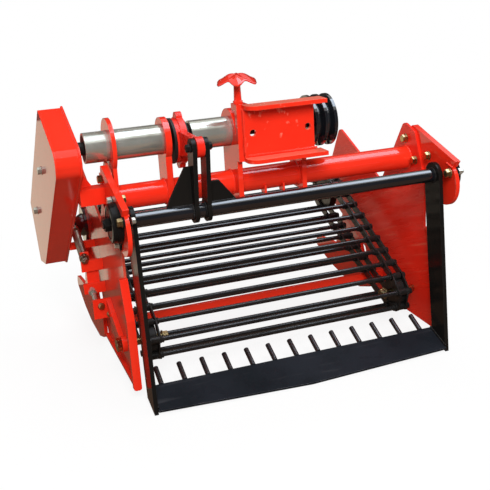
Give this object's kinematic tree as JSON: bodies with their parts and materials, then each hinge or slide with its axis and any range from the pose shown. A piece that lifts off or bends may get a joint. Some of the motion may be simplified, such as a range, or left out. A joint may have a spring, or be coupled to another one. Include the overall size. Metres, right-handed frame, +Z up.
{
  "type": "potato digger",
  "caption": "Potato digger for a two-wheel tractor: a vibrating shovel lifts the row onto an inclined rod conveyor inside a welded frame with a belt-driven shaft.",
  "frame": {"origin": "on the ground, in the middle of the machine's rectangular outline seen from above", "axes": "+Z up, -Y towards the direction of travel (the shovel's side), +X to the right for someone standing in front of the shovel"},
  "size_m": [0.799, 0.6984, 0.595],
  "materials": {
    "black_paint": "gloss",
    "oiled_steel": "satin",
    "red_paint": "gloss",
    "seal_rubber": "matt",
    "zinc_plate": "satin"
  },
  "bodies": {
    "frame": {"axle_bearings": "black_paint", "beam_lugs": "red_paint", "bracket_straps": "red_paint", "case_arm": "red_paint", "case_strut": "red_paint", "chain_case": "red_paint", "chain_case_cover": "red_paint", "chain_slides": "red_paint", "end_plate_left": "red_paint", "end_plate_right": "red_paint", "flange_bar_left": "red_paint", "flange_bar_right": "red_paint", "front_strip_left": "red_paint", "front_strip_right": "red_paint", "front_wheels": "oiled_steel", "hitch_bracket": "red_paint", "hitch_post": "red_paint", "hitch_post_right": "red_paint", "lock_boss": "red_paint", "lock_screw": "red_paint", "main_beam": "red_paint", "mid_post": "red_paint", "pivot_bearings": "black_paint", "pivot_pins": "zinc_plate", "rear_axle": "oiled_steel", "rear_cross_bar": "red_paint", "rear_skid_left": "red_paint", "rear_skid_right": "red_paint", "ring_plate": "red_paint", "rods_bottom": "oiled_steel", "rods_front": "oiled_steel", "rods_rear": "oiled_steel", "rods_top": "oiled_steel", "shaft_bearings": "oiled_steel", "shaft_guards": "zinc_plate", "side_chain_left": "oiled_steel", "side_chain_right": "oiled_steel", "side_plate_left": "red_paint", "side_plate_right": "red_paint", "sill_strip_left": "red_paint", "sill_strip_right": "red_paint", "sprockets": "oiled_steel", "stub_axles": "zinc_plate", "tension_brackets": "red_paint", "tension_screws": "zinc_plate", "tension_spring": "zinc_plate"},
    "shovel": {"arm_left": "black_paint", "arm_right": "black_paint", "blade": "black_paint", "fingers": "black_paint", "lever_gussets": "black_paint", "lever_pin": "zinc_plate", "lever_plates": "black_paint", "pivot_tube": "black_paint"},
    "drive": {"belt_pulley": "black_paint", "drive_shaft": "oiled_steel", "eccentric": "oiled_steel"},
    "rod": {"eccentric_rod": "red_paint", "housing_seals": "seal_rubber"}
  },
  "joints": [
    {"name": "drive_turn", "type": "hinge", "parent": "frame", "child": "drive", "pos_m": [0.0285, -0.14796, 0.479], "axis": [1, 0, 0], "continuous": true},
    {"name": "shovel_swing", "type": "hinge", "parent": "frame", "child": "shovel", "pos_m": [0.0285, -0.27596, 0.364], "axis": [1, 0, 0], "range_deg": [-3, 3]},
    {"name": "rod_swivel", "type": "hinge", "parent": "shovel", "child": "rod", "pos_m": [-0.1515, -0.28996, 0.484], "axis": [1, 0, 0], "range_deg": [-3, 3]}
  ],
  "couplings": [
    {"joint": "rod_swivel", "follows": "shovel_swing", "ratio": -1}
  ]
}
